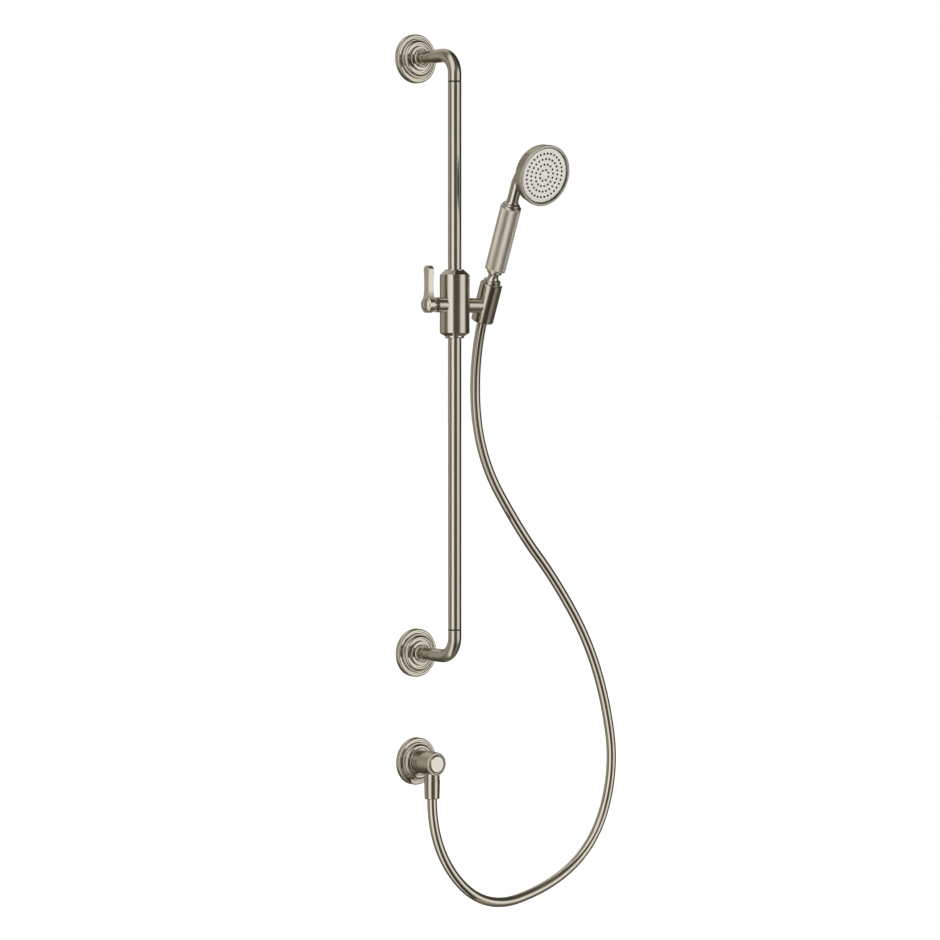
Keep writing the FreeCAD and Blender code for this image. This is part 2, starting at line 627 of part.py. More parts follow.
def hose_nut_upper():
    outline = [
        (SLEEVE_RADIUS + 0.5, NUT_BOTTOM), (CONE_END, NUT_BOTTOM), (CONE_TOP, HOLDER_UP),
        (NUT_COLLAR, NUT_SEAT + 0.3), (NUT_COLLAR, COLLAR_TOP - 1.6),
        (NUT_COLLAR - 0.4, COLLAR_TOP - 0.4, NUT_COLLAR - 1.4, COLLAR_TOP),
        (THREAD_BORE, COLLAR_TOP), (THREAD_BORE, 22.8), (SLEEVE_RADIUS + 0.5, 22.8),
    ]
    return on_handset(lathe(outline))


def filter_washer():
    return on_handset(tube(10.2, 4.5, Vec(0, 0, 24.9), Z_AXIS, 2.2))


def handset_connector():
    """Threaded tail, polished waist and flared seat for the grip."""
    outline = [
        (4.5, 27.2), (THREAD_RADIUS, 27.2), (THREAD_RADIUS, COLLAR_TOP + 0.2),
        (7.8, 46.6, 9.3, 51.8), (10.4, 52.2), (11.3, 53.4, 10.4, 54.6), (10.2, 55.2), (12.5, 55.8),
        (12.9, 56.2), (12.9, CONNECTOR_TOP),
        (CORE_RADIUS + 0.05, CONNECTOR_TOP), (CORE_RADIUS + 0.05, CORE_BOTTOM), (4.5, CORE_BOTTOM),
    ]
    return on_handset(lathe(outline))


def flow_restrictor():
    return on_handset(tube(4.45, 1.5, Vec(0, 0, 29.0), Z_AXIS, 3.0))


def grip_core_tube():
    bottom = CORE_BOTTOM + 0.1
    return on_handset(tube(CORE_RADIUS, 5.0, Vec(0, 0, bottom), Z_AXIS, CORE_TOP - bottom))


def grip_lower_spacer():
    bottom = Vec(0, 0, CONNECTOR_TOP + 0.1)
    return on_handset(tube(GRIP_BORE - 0.05, CORE_RADIUS + 0.05, bottom, Z_AXIS, 6.0))


def grip_sleeve():
    outline = [
        (GRIP_BORE, GRIP_BOTTOM), (14.9, GRIP_BOTTOM), (15.5, 57.5, GRIP_RADIUS, 58.2),
        (GRIP_RADIUS, GRIP_TOP - 0.6), (GRIP_RADIUS - 0.6, GRIP_TOP), (GRIP_BORE, GRIP_TOP),
    ]
    return on_handset(lathe(outline))


def grip_top_collar():
    """Polished beads that close the top of the grip and hold the foot of the neck."""
    neck_bore = NECK_RADIUS + 0.05
    outline = [
        (CORE_RADIUS + 0.05, GRIP_TOP - 8.0), (GRIP_BORE - 0.05, GRIP_TOP - 8.0),
        (GRIP_BORE - 0.05, GRIP_TOP + 0.1), (15.2, GRIP_TOP + 0.1), (15.6, 157.8, 14.4, 158.9),
        (12.7, 159.4), (12.5, 160.2), (13.1, 161.2, 12.1, 162.4), (10.0, 163.4, 9.3, 166.5),
        (neck_bore, 166.5), (neck_bore, CORE_TOP), (CORE_RADIUS + 0.05, CORE_TOP),
    ]
    return on_handset(lathe(outline))


def neck_washer():
    return on_handset(tube(NECK_RADIUS - 0.1, 5.2, Vec(0, 0, CORE_TOP + 0.1), Z_AXIS, 1.4))


def head_frame():
    """Placement of the head: origin at the middle of the rim's front, own Z out of the face."""
    rise = math.radians(HEAD_AXIS_RISE)
    facing = Vec(0, -math.cos(rise), math.sin(rise))
    return Vec(0, -HEAD_FORWARD, HEAD_HEIGHT), facing


def on_head(shape):
    centre, facing = head_frame()
    return on_handset(Part.makeCompound([aimed(shape, centre, facing)]).Solids[0])


def swan_neck():
    """Tube that runs up from the grip and bends forward into the back of the head."""
    centre, facing = head_frame()
    turn = 90.0 - HEAD_AXIS_RISE
    end = centre - facing * NECK_END_DEPTH
    bend_rise = NECK_BEND * math.sin(math.radians(turn))
    bend_reach = NECK_BEND * (1 - math.cos(math.radians(turn)))
    last_run = (-end.y - bend_reach) / math.cos(math.radians(HEAD_AXIS_RISE))
    bend_height = end.z - bend_rise - last_run * math.sin(math.radians(HEAD_AXIS_RISE))
    pieces = []
    for radius in (NECK_RADIUS, 5.5):
        foot = rod(radius, Vec(0, 0, NECK_START), Z_AXIS, bend_height - NECK_START)
        ring = Part.Face(Part.Wire(Part.makeCircle(radius, Vec(0, 0, bend_height), Z_AXIS)))
        bend = ring.revolve(Vec(0, -NECK_BEND, bend_height), X_AXIS, turn)
        tail = rod(radius, end - facing * last_run, facing, last_run)
        pieces.append(foot.fuse([bend, tail]).removeSplitter())
    return on_handset(pieces[0].cut(pieces[1]))


def head_shell():
    """Round cup that is open at the front, with a boss for the neck at the back."""
    neck_bore = NECK_RADIUS + 0.05
    outline = [
        (neck_bore, -25.5), (11.4, -25.5), (12.4, -24.2, 14.6, -22.9), (38.0, -HEAD_DEPTH - 0.2),
        (42.0, -HEAD_DEPTH + 1.2, 43.6, -HEAD_DEPTH + 5.0), (44.7, -4.05), (42.0, -4.05), (42.0, -8.0),
        (40.2, -8.0), (40.2, -13.0), (38.2, -13.0), (38.2, -17.0), (neck_bore, -17.6),
    ]
    return on_head(lathe(outline))


def diffuser_plate():
    plate = rod(39.9, Vec(0, 0, -12.95), Z_AXIS, 1.6)
    for ring_radius, count in ((14.0, 6), (28.0, 12)):
        for x, y in on_circle(ring_radius, count):
            plate = plate.cut(rod(1.6, Vec(x, y, -14.0), Z_AXIS, 4.0))
    return on_head(plate)


def head_seal():
    return on_head(Part.makeTorus(41.1, 0.85, Vec(0, 0, -7.1)))


def nozzle_places():
    """(x, y) of every nozzle: rings of 8, 16, 24 and so on, at even steps of radius."""
    places = []
    for ring, start in enumerate(NOZZLE_RING_STARTS, 1):
        places += on_circle(NOZZLE_RING_STEP * ring, NOZZLES_PER_RING * ring, start)
    return places


def nozzle_mat():
    """Silicone disc with a hollow teat behind every hole of the spray plate."""
    mat = rod(41.8, Vec(0, 0, -6.2), Z_AXIS, 1.6)
    tip = NOZZLE_RADIUS * 0.8
    teats = [Part.makeCone(NOZZLE_RADIUS, tip, 2.7, Vec(x, y, -4.7)) for x, y in nozzle_places()]
    ways = [rod(0.5, Vec(x, y, -7.0), Z_AXIS, 6.0) for x, y in nozzle_places()]
    return on_head(mat.fuse(teats).cut(ways))


def spray_plate():
    plate = rod(41.9, Vec(0, 0, -4.5), Z_AXIS, 1.6)
    holes = [rod(NOZZLE_RADIUS + 0.1, Vec(x, y, -5.0), Z_AXIS, 3.0) for x, y in nozzle_places()]
    return on_head(plate.cut(holes))


def head_rim():
    outline = [
        (42.2, -4.0), (HEAD_RADIUS, -4.0), (HEAD_RADIUS, -1.6),
        (HEAD_RADIUS - 0.4, -0.4, HEAD_RADIUS - 1.4, 0), (HEAD_RADIUS - 3.3, 0), (40.7, -1.4),
        (40.6, -2.8), (42.2, -2.8),
    ]
    return on_head(lathe(outline))


# Assembly

def sub_parts():
    """Every node's name and shape."""
    parts = {}
    pairs = (
        ("wall_plate", wall_plate), ("flange", bracket_flange), ("elbow", elbow),
        ("joint_ring", joint_ring), ("joint_plug", joint_plug),
    )
    for name, make in pairs:
        lower = make()
        parts["lower_" + name] = lower
        parts["upper_" + name] = mirrored_up(lower)
    grub = bracket_grub()
    parts["bracket_grub_screws"] = Part.makeCompound([grub, mirrored_up(grub)])
    singles = (
        slide_bar, outlet_flange, outlet_flange_seal, outlet_body, outlet_cap, outlet_cap_ring,
        check_valve_cage, check_valve_poppet, check_valve_spring, hose_nut_lower, hose_washer_lower,
        hose_ferrule_lower, shower_hose, guide_liner, slider_body, slider_upper_bush,
        slider_lower_bush, clamp_boss, brake_pad, clamp_screw, clamp_lever, lever_fixing_screw,
        lever_cap, pivot_friction_washer, pivot_grub_screw, pivot_stub, handset_holder,
        holder_insert, hose_ferrule_upper, hose_nut_upper, filter_washer, handset_connector,
        flow_restrictor, grip_core_tube, grip_lower_spacer, grip_sleeve, grip_top_collar,
        neck_washer, swan_neck, head_shell, diffuser_plate, head_seal, nozzle_mat, spray_plate,
        head_rim,
    )
    for make in singles:
        parts[make.__name__] = make()
    return parts


def main():
    os.makedirs("parts", exist_ok=True)
    for name, shape in sub_parts().items():
        shape.exportStep("parts/" + name + ".step")


main()
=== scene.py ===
"""Looks for the slide-rail shower set: camera, hose, knurled grip, finishes and studio.

Metres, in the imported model's frame: +Z up, the wall is the plane Y = 0 and the set stands out
towards -Y. The origin is the centre of the lower bracket on the wall.
"""
import bpy
import math
from mathutils import Matrix, Vector


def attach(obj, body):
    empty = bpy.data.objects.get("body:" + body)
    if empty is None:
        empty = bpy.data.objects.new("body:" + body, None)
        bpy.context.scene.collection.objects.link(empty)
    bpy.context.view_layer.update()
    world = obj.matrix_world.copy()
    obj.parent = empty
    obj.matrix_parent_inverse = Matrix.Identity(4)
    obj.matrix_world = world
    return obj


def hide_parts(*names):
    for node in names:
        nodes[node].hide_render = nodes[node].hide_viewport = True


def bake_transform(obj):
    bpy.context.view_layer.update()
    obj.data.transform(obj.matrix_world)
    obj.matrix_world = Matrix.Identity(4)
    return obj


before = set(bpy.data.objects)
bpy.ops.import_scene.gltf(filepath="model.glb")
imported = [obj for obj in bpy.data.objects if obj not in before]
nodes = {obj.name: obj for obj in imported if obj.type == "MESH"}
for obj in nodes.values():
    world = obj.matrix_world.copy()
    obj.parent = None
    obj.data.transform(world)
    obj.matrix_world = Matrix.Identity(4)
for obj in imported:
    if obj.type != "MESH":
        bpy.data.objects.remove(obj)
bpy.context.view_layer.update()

# Places on the object
BAR_OFFSET = 0.098             # the bar's axis, from the wall
RAIL_CENTRES = 0.9             # from the lower bracket up to the upper one
OUTLET_Z = -0.1654
SPOUT_Y = -0.0428              # the outlet's nut, from the wall
AXIS_Z = 0.5265                # the stub that the holder tilts on
HOLDER_X = 0.060
HOLDER_TILT = math.radians(22.1)
HEAD_RISE = math.radians(6.0)
HEAD_FROM_PIVOT = Vector((0, -0.0577, 0.2262))
PIVOT = Vector((HOLDER_X, -BAR_OFFSET, AXIS_Z))
ALONG = Vector((0, -math.sin(HOLDER_TILT), math.cos(HOLDER_TILT)))
BAR = Vector((0, -BAR_OFFSET, 0))


# Camera

SENSOR_WIDTH = 36.0            # millimetres, as the lens is
LENS = 117.66
CAMERA_PLACE = (-2.8576, -3.6892, 0.4256)
CAMERA_DIP = 1.812             # degrees below level
CAMERA_HEADING = 38.795        # degrees from straight at the wall, towards +X


def make_camera():
    data = bpy.data.cameras.new("camera")
    data.sensor_width = SENSOR_WIDTH
    data.lens = LENS
    camera = bpy.data.objects.new("camera", data)
    camera.location = CAMERA_PLACE
    camera.rotation_euler = (math.radians(90 - CAMERA_DIP), 0, -math.radians(CAMERA_HEADING))
    bpy.context.collection.objects.link(camera)
    bpy.context.scene.camera = camera


make_camera()


# Meshes

def mesh_object(name, points, faces):
    """An object in the scene, smooth all over."""
    mesh = bpy.data.meshes.new(name)
    mesh.from_pydata([tuple(point) for point in points], [], faces)
    mesh.update()
    mesh.polygons.foreach_set("use_smooth", [True] * len(mesh.polygons))
    made = bpy.data.objects.new(name, mesh)
    bpy.context.collection.objects.link(made)
    return made


def ring_faces(rings, sides):
    """Quads between rings of points that follow each other."""
    faces = []
    for ring in range(rings - 1):
        for side in range(sides):
            following = (side + 1) % sides
            a = ring * sides + side
            b = ring * sides + following
            faces.append((a, b, b + sides, a + sides))
    return faces


# Hose

HOSE_DIAMETER = 0.015
HOSE_SIDES = 32
# From the outlet's nut, down and round the loop, and up to the holder: control points.
HOSE_ROUTE = [
    (0.000, -0.0428, -0.219), (0.000, -0.0428, -0.296), (0.093, -0.053, -0.400),
    (0.231, -0.059, -0.371), (0.315, -0.062, -0.306), (0.346, -0.067, -0.197),
    (0.326, -0.069, -0.087), (0.286, -0.069, 0.014), (0.220, -0.066, 0.110),
    (0.156, -0.064, 0.181), (0.077, -0.059, 0.301), (0.060, -0.0668, 0.4496),
    (0.060, -0.0965, 0.5228),
]
LINE_STEPS = 24                # points of the line for each control point
# Heights on the rising side, where one stretch ends and the next begins.
SLIDE_END = 0.33
SWIVEL_END = 0.43
TILT_END = 0.488


def hose_line():
    """The smooth line through the hose, outlet first."""
    curve = bpy.data.curves.new("hose_line", "CURVE")
    curve.dimensions = "3D"
    spline = curve.splines.new("NURBS")
    spline.points.add(len(HOSE_ROUTE) - 1)
    for point, place in zip(spline.points, HOSE_ROUTE):
        point.co = (*place, 1.0)
    spline.order_u = 3
    spline.use_endpoint_u = True
    spline.resolution_u = LINE_STEPS
    bare = bpy.data.objects.new("hose_line", curve)
    mesh = bpy.data.meshes.new_from_object(bare)
    line = [v.co.copy() for v in mesh.vertices]
    bpy.data.meshes.remove(mesh)
    bpy.data.objects.remove(bare)
    bpy.data.curves.remove(curve)
    return line


def hose_rings(line):
    """A ring of points round every point of the line, carried along it without twist."""
    across = Vector((1, 0, 0))
    rings = []
    for index, place in enumerate(line):
        before = line[max(index - 1, 0)]
        after = line[min(index + 1, len(line) - 1)]
        heading = (after - before).normalized()
        across = (across - heading * across.dot(heading)).normalized()
        other = heading.cross(across)
        ring = []
        for side in range(HOSE_SIDES):
            turn = 2 * math.pi * side / HOSE_SIDES
            outward = across * math.cos(turn) + other * math.sin(turn)
            ring.append(place + outward * HOSE_DIAMETER / 2)
        rings.append(ring)
    return rings


def hose_piece(name, line, rings, first, last):
    """The tube from one ring of the line to another, and its part of the line."""
    points = [point for ring in rings[first:last + 1] for point in ring]
    piece = mesh_object(name, points, ring_faces(last + 1 - first, HOSE_SIDES))
    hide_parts("shower_hose")
    return piece, line[first:last + 1]


def make_hose():
    """One hose in five stretches, split at the loop's lowest point and at given heights on the
    rising side. Neighbours share a ring of points; the stretch from the outlet goes with the wall
    rail."""
    line = hose_line()
    rings = hose_rings(line)
    lowest = min(range(len(line)), key=lambda index: line[index].z)

    def first_above(height):
        return next(index for index in range(lowest, len(line)) if line[index].z >= height)

    slide_end = first_above(SLIDE_END)
    swivel_end = first_above(SWIVEL_END)
    tilt_end = first_above(TILT_END)
    last = len(line) - 1
    stretches = (
        ("hose_outlet_run", 0, lowest, None),
        ("hose_long_run", lowest, slide_end, ("wall_rail", "liner")),
        ("hose_swivel_run", slide_end, swivel_end, ("liner", "carriage")),
        ("hose_tilt_run", swivel_end, tilt_end, ("carriage", "holder")),
        ("hose_top_run", tilt_end, last, ("holder", "hose_end")),
    )
    pieces = []
    for name, first, end, bodies in stretches:
        piece, path = hose_piece(name, line, rings, first, end)
        if bodies is None:
            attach(piece, "wall_rail")
        elif name == "hose_top_run":
            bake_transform(piece)
        else:
            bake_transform(piece)
        pieces.append((piece, path))
    return [piece for piece, path in pieces]


hose = make_hose()


# Knurled grip

GRIP_RADIUS = 0.0157
GRIP_BORE = 0.0120
KNURL_DEPTH = 0.00045
KNURL_SIDES = 96               # half a diamond each, round the grip
KNURL_ROWS = 72                # half a diamond each, along it
# Heights are along the handset, from the pivot axis.
KNURL_BOTTOM = 0.0588
KNURL_TOP = 0.1556
# Radius and height of the plain edges below and above the knurling
GRIP_FOOT = ((GRIP_BORE, 0.0572), (0.0148, 0.0572), (0.0153, 0.0575), (0.0156, 0.0580))
GRIP_SHOULDER = ((0.0155, 0.1560), (0.0151, 0.1565), (GRIP_BORE, 0.1565))


def make_grip():
    """Sleeve with real diamond knurling: valleys where the row and the side add up to an even
    number, and each square split along its valleys, so that every diamond is a small pyramid."""
    rise = (KNURL_TOP - KNURL_BOTTOM) / KNURL_ROWS
    rows = [[edge] * KNURL_SIDES for edge in GRIP_FOOT]
    for row in range(KNURL_ROWS + 1):
        height = KNURL_BOTTOM + rise * row
        ring = []
        for side in range(KNURL_SIDES):
            valley = (row + side) % 2 == 0 or row in (0, KNURL_ROWS)
            ring.append((GRIP_RADIUS - (KNURL_DEPTH if valley else 0.0), height))
        rows.append(ring)
    rows += [[edge] * KNURL_SIDES for edge in GRIP_SHOULDER]
    lean = Matrix.Translation(PIVOT) @ Matrix.Rotation(HOLDER_TILT, 4, "X")
    points = []
    for ring in rows:
        for side, (radius, height) in enumerate(ring):
            turn = 2 * math.pi * side / KNURL_SIDES
            x, y = radius * math.cos(turn), radius * math.sin(turn)
            points.append(lean @ Vector((x, y, height)))
    first = len(GRIP_FOOT)
    faces = []
    for ring in range(len(rows)):
        upper = (ring + 1) % len(rows)
        for side in range(KNURL_SIDES):
            following = (side + 1) % KNURL_SIDES
            a = ring * KNURL_SIDES + side
            b = ring * KNURL_SIDES + following
            c = upper * KNURL_SIDES + following
            d = upper * KNURL_SIDES + side
            if ring < first or ring >= first + KNURL_ROWS:
                faces.append((a, b, c, d))
            elif (ring - first + side) % 2 == 0:
                faces += [(a, b, c), (a, c, d)]
            else:
                faces += [(a, b, d), (b, c, d)]
    grip = mesh_object("knurled_grip", points, faces)
    grip.data.polygons.foreach_set("use_smooth", [len(face) == 4 for face in faces])
    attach(grip, "handset")
    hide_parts("grip_sleeve")
    return grip


grip = make_grip()


# Finishes

USUAL_NOISE = (0.3, 0.7)       # most of a noise's values lie between
# Sizes of the noises: how many spots there are to a metre.
STREAK_SCALE = 4000.0          # across the brush lines
LONG_STREAK_SCALE = 30.0       # along them, where they are straight
ROUND_STREAK_SCALE = 9.0       # along them, where they run round an axis: to a radian
STREAK_ROUGHNESS = 0.6
SMUDGE_SCALE = 34.0
SMUDGE_SHARE = 0.6             # of a metal's uneven tone, and the streaks' share
STREAK_SHARE = 0.4
METAL_TONES = (0.94, 1.05)     # its darkest and lightest, as shares of its colour
SMUDGED_ROUGHNESS = (0.86, 1.12)
STREAKED_ROUGHNESS = 0.14
STREAK_DEPTH = 0.00001
MOULD_SCALE = 900.0
MOULD_TONE_SCALE = 60.0
MOULD_ROUGHNESS = (0.88, 1.12)
MOULD_DEPTH = 0.00004
COAT_ROUGHNESS = 0.15


class Graph:
    """Short names for making and joining a material's nodes."""

    def __init__(self, tree):
        self.tree = tree

    def node(self, kind, **settings):
        made = self.tree.nodes.new("ShaderNode" + kind)
        for name, value in settings.items():
            setattr(made, name, value)
        return made

    def join(self, value, socket):
        if isinstance(value, bpy.types.NodeSocket):
            self.tree.links.new(value, socket)
        else:
            socket.default_value = value

    def math(self, operation, first, second):
        made = self.node("Math", operation=operation)
        self.join(first, made.inputs[0])
        self.join(second, made.inputs[1])
        return made.outputs[0]

    def vector(self, operation, first, second):
        made = self.node("VectorMath", operation=operation)
        self.join(first, made.inputs[0])
        self.join(second, made.inputs[1])
        return made.outputs["Value" if operation == "DOT_PRODUCT" else "Vector"]

    def combine(self, x, y, z):
        made = self.node("CombineXYZ")
        for value, socket in zip((x, y, z), made.inputs):
            self.join(value, socket)
        return made.outputs[0]

    def noise(self, vector, scale, detail=3.0, roughness=0.55):
        made = self.node("TexNoise")
        self.join(vector, made.inputs["Vector"])
        made.inputs["Scale"].default_value = scale
        made.inputs["Detail"].default_value = detail
        made.inputs["Roughness"].default_value = roughness
        return made.outputs["Fac"]

    def spread(self, value, low, high):
        """A noise's usual values, stretched to low..high."""
        made = self.node("MapRange")
        self.join(value, made.inputs["Value"])
        made.inputs["From Min"].default_value = USUAL_NOISE[0]
        made.inputs["From Max"].default_value = USUAL_NOISE[1]
        made.inputs["To Min"].default_value = low
        made.inputs["To Max"].default_value = high
        return made.outputs["Result"]

    def tint(self, value, dark, light):
        made = self.node("Mix", data_type="RGBA")
        self.join(value, made.inputs["Factor"])
        made.inputs["A"].default_value = (*dark, 1.0)
        made.inputs["B"].default_value = (*light, 1.0)
        return made.outputs["Result"]

    def bump(self, height, strength, distance):
        made = self.node("Bump")
        self.join(height, made.inputs["Height"])
        made.inputs["Strength"].default_value = strength
        made.inputs["Distance"].default_value = distance
        return made.outputs["Normal"]


def start_material(name):
    """A new material, its graph, its shader and the place on the object."""
    material = bpy.data.materials.new(name)
    material.use_nodes = True
    graph = Graph(material.node_tree)
    place = graph.node("TexCoord").outputs["Object"]
    return material, graph, material.node_tree.nodes["Principled BSDF"], place


def shaded(colour, amount):
    """A colour made darker, or lighter with more than 1."""
    return tuple(channel * amount for channel in colour)


def metal(name, colour, roughness, origin=None, axis=None, lines="round", grain=0.25):
    """Plated metal. With an axis, fine brush lines run round it, or along it if lines is "long"."""
    material, graph, shader, place = start_material(name)
    shader.inputs["Metallic"].default_value = 1.0
    smudge = graph.noise(place, SMUDGE_SCALE, 4.0)
    if axis is None:
        streaks = graph.noise(place, STREAK_SCALE, roughness=STREAK_ROUGHNESS)
    else:
        axis = Vector(axis).normalized()
        side = axis.orthogonal().normalized()
        other = axis.cross(side)
        local = graph.vector("SUBTRACT", place, tuple(origin))
        height = graph.vector("DOT_PRODUCT", local, tuple(axis))
        u = graph.vector("DOT_PRODUCT", local, tuple(side))
        v = graph.vector("DOT_PRODUCT", local, tuple(other))
        if lines == "round":
            angle = graph.math("ARCTAN2", v, u)
            squares = graph.math("ADD", graph.math("MULTIPLY", u, u), graph.math("MULTIPLY", v, v))
            radius = graph.math("POWER", squares, 0.5)
            stretched = graph.combine(graph.math("MULTIPLY", radius, STREAK_SCALE),
                                      graph.math("MULTIPLY", height, STREAK_SCALE),
                                      graph.math("MULTIPLY", angle, ROUND_STREAK_SCALE))
        else:
            stretched = graph.combine(graph.math("MULTIPLY", u, STREAK_SCALE),
                                      graph.math("MULTIPLY", v, STREAK_SCALE),
                                      graph.math("MULTIPLY", height, LONG_STREAK_SCALE))
        streaks = graph.noise(stretched, 1.0, roughness=STREAK_ROUGHNESS)
    tone = graph.math("ADD", graph.math("MULTIPLY", smudge, SMUDGE_SHARE),
                      graph.math("MULTIPLY", streaks, STREAK_SHARE))
    darkest, lightest = METAL_TONES
    tinted = graph.tint(graph.spread(tone, 0.0, 1.0),
                        shaded(colour, darkest), shaded(colour, lightest))
    graph.join(tinted, shader.inputs["Base Color"])
    smoothest, roughest = SMUDGED_ROUGHNESS
    streaked = roughness * STREAKED_ROUGHNESS
    rough = graph.math("ADD", graph.spread(smudge, roughness * smoothest, roughness * roughest),
                       graph.spread(streaks, -streaked, streaked))
    graph.join(rough, shader.inputs["Roughness"])
    graph.join(graph.bump(streaks, grain, STREAK_DEPTH), shader.inputs["Normal"])
    return material


def moulded(name, colour, roughness, fleck, grain=0.2, coat=0.0):
    """Plastic or rubber with a faint moulded grain and slightly uneven tone."""
    material, graph, shader, place = start_material(name)
    fine = graph.noise(place, MOULD_SCALE, 4.0)
    broad = graph.noise(place, MOULD_TONE_SCALE)
    tone = graph.tint(graph.spread(broad, 0.0, 1.0),
                      shaded(colour, 1 - fleck), shaded(colour, 1 + fleck))
    graph.join(tone, shader.inputs["Base Color"])
    smoothest, roughest = MOULD_ROUGHNESS
    graph.join(graph.spread(fine, roughness * smoothest, roughness * roughest),
               shader.inputs["Roughness"])
    shader.inputs["Coat Weight"].default_value = coat
    shader.inputs["Coat Roughness"].default_value = COAT_ROUGHNESS
    graph.join(graph.bump(fine, grain, MOULD_DEPTH), shader.inputs["Normal"])
    return material


def finish_nodes(material, *names):
    """Gives CAD nodes their finish, in their objects' own slots."""
    for name in names:
        piece = nodes[name]
        if not piece.material_slots:
            piece.data.materials.append(material)
        for slot in piece.material_slots:
            slot.link = "OBJECT"
            slot.material = material


NICKEL = (0.66, 0.625, 0.54)
BRIGHT_NICKEL = (0.74, 0.705, 0.63)
FLANGE_NICKEL = (0.72, 0.685, 0.60)
HOSE_NICKEL = (0.72, 0.685, 0.60)
# The grip's nickel, painted far lighter than the rest of the plating: a painted sheen for the
# knurling's bright look.
KNURL_PAINTED_SHEEN_NICKEL = (0.96, 0.92, 0.82)
BRASS = (0.72, 0.56, 0.27)
ZINC = (0.55, 0.55, 0.57)
RUBBER = (0.018, 0.018, 0.019)
ACETAL = (0.78, 0.78, 0.75)
SPRAY_PLATE = (0.74, 0.73, 0.69)
NOZZLES = (0.012, 0.016, 0.03)
X = (1, 0, 0)
Y = (0, 1, 0)
Z = (0, 0, 1)
SPOUT = (0, SPOUT_Y, 0)
head_turn = Matrix.Rotation(HOLDER_TILT, 4, "X")
FACING = head_turn @ Vector((0, -math.cos(HEAD_RISE), math.sin(HEAD_RISE)))
HEAD_CENTRE = PIVOT + head_turn @ HEAD_FROM_PIVOT

# Name, a point on the axis, the axis, how the brush lines run, roughness, and the pieces
BRUSHED = (
    ("outlet_nickel", (0, 0, OUTLET_Z), Y, "round", 0.19, ("outlet_body",)),
    ("elbow_nickel", None, None, "round", 0.19, ("lower_elbow", "upper_elbow")),
    ("bar_nickel", BAR, Z, "long", 0.16, ("slide_bar",)),
    ("slider_nickel", BAR, Z, "round", 0.16, ("slider_body",)),
    ("stub_nickel", PIVOT, X, "round", 0.17, ("clamp_boss", "pivot_stub")),
    ("holder_nickel", PIVOT, ALONG, "round", 0.18, ("handset_holder",)),
    ("upper_nut_nickel", PIVOT, ALONG, "round", 0.14, ("hose_nut_upper",)),
    ("lower_nut_nickel", SPOUT, Z, "round", 0.14, ("hose_nut_lower",)),
)
for name, origin, axis, lines, roughness, used in BRUSHED:
    finish_nodes(metal(name, NICKEL, roughness, origin, axis, lines, grain=0.06), *used)

for name, height in (("lower_flange", 0), ("upper_flange", RAIL_CENTRES),
                     ("outlet_flange", OUTLET_Z)):
    finish = metal(name + "_nickel", FLANGE_NICKEL, 0.07, (0, 0, height), Y, grain=0.02)
    finish_nodes(finish, name)

finish_nodes(metal("polished_nickel", BRIGHT_NICKEL, roughness=0.05, grain=0.02),
             "slider_upper_bush", "slider_lower_bush", "clamp_screw", "lever_cap",
             "handset_connector", "grip_top_collar", "swan_neck", "outlet_cap_ring")
# The head shell's nickel is painted at 0.8 of the usual nickel: painted shade for the darker look
# of its shaded side.
finish_nodes(metal("head_nickel_painted_shade", shaded(NICKEL, 0.8), 0.13, HEAD_CENTRE, FACING, grain=0.06),
             "head_shell")
finish_nodes(metal("lever_nickel", BRIGHT_NICKEL, roughness=0.11, grain=0.02), "clamp_lever")
finish_nodes(metal("rim_nickel", BRIGHT_NICKEL, roughness=0.12, grain=0.02), "head_rim")
# The outlet cap's nickel is painted 1.2 times as light as the polished nickel: painted light for
# its bright look.
finish_nodes(metal("outlet_cap_painted_light_nickel", shaded(BRIGHT_NICKEL, 1.2), roughness=0.24, grain=0.1),
             "outlet_cap")
# The knurled grip gets the lighter nickel: painted sheen.
grip.data.materials.append(metal("knurl_painted_sheen_nickel", KNURL_PAINTED_SHEEN_NICKEL, roughness=0.38, grain=0.1))
hose_finish = metal("hose_nickel", HOSE_NICKEL, roughness=0.045, grain=0.01)
for piece in hose:
    piece.data.materials.append(hose_finish)

finish_nodes(metal("turned_brass", BRASS, roughness=0.3, grain=0.3),
             "lower_joint_plug", "upper_joint_plug", "hose_ferrule_lower", "hose_ferrule_upper",
             "grip_core_tube")
finish_nodes(metal("zinc_plated_steel", ZINC, roughness=0.34, grain=0.3),
             "lower_wall_plate", "upper_wall_plate", "bracket_grub_screws", "lever_fixing_screw",
             "pivot_grub_screw", "check_valve_spring")
finish_nodes(moulded("black_rubber", RUBBER, roughness=0.55, fleck=0.12, grain=0.3),
             "lower_joint_ring", "upper_joint_ring", "outlet_flange_seal", "hose_washer_lower",
             "filter_washer", "neck_washer", "head_seal")
finish_nodes(moulded("pale_acetal", ACETAL, roughness=0.42, fleck=0.03),
             "guide_liner", "brake_pad", "pivot_friction_washer", "holder_insert",
             "grip_lower_spacer", "check_valve_cage", "check_valve_poppet", "flow_restrictor",
             "diffuser_plate")
finish_nodes(moulded("spray_plate_plastic", SPRAY_PLATE, roughness=0.33, fleck=0.02, grain=0.12,
                     coat=0.2), "spray_plate")
finish_nodes(moulded("nozzle_silicone", NOZZLES, roughness=0.4, fleck=0.1), "nozzle_mat")

# The handset isn't mirrored in the rail, which keeps its bright lines along its whole length.
for node in ("swan_neck", "head_shell", "head_rim", "spray_plate", "grip_top_collar"):
    nodes[node].visible_glossy = False
grip.visible_glossy = False


# Studio

# Level directions from the object: back to the camera, and to the camera's right.
BACK_TO_CAMERA = (-0.6263, -0.7790, 0.0)
CAMERA_RIGHT = (0.7790, -0.6263, 0.0)
DARK = (1.0, 0.92, 0.70)
LIGHT = (1.0, 0.985, 0.96)
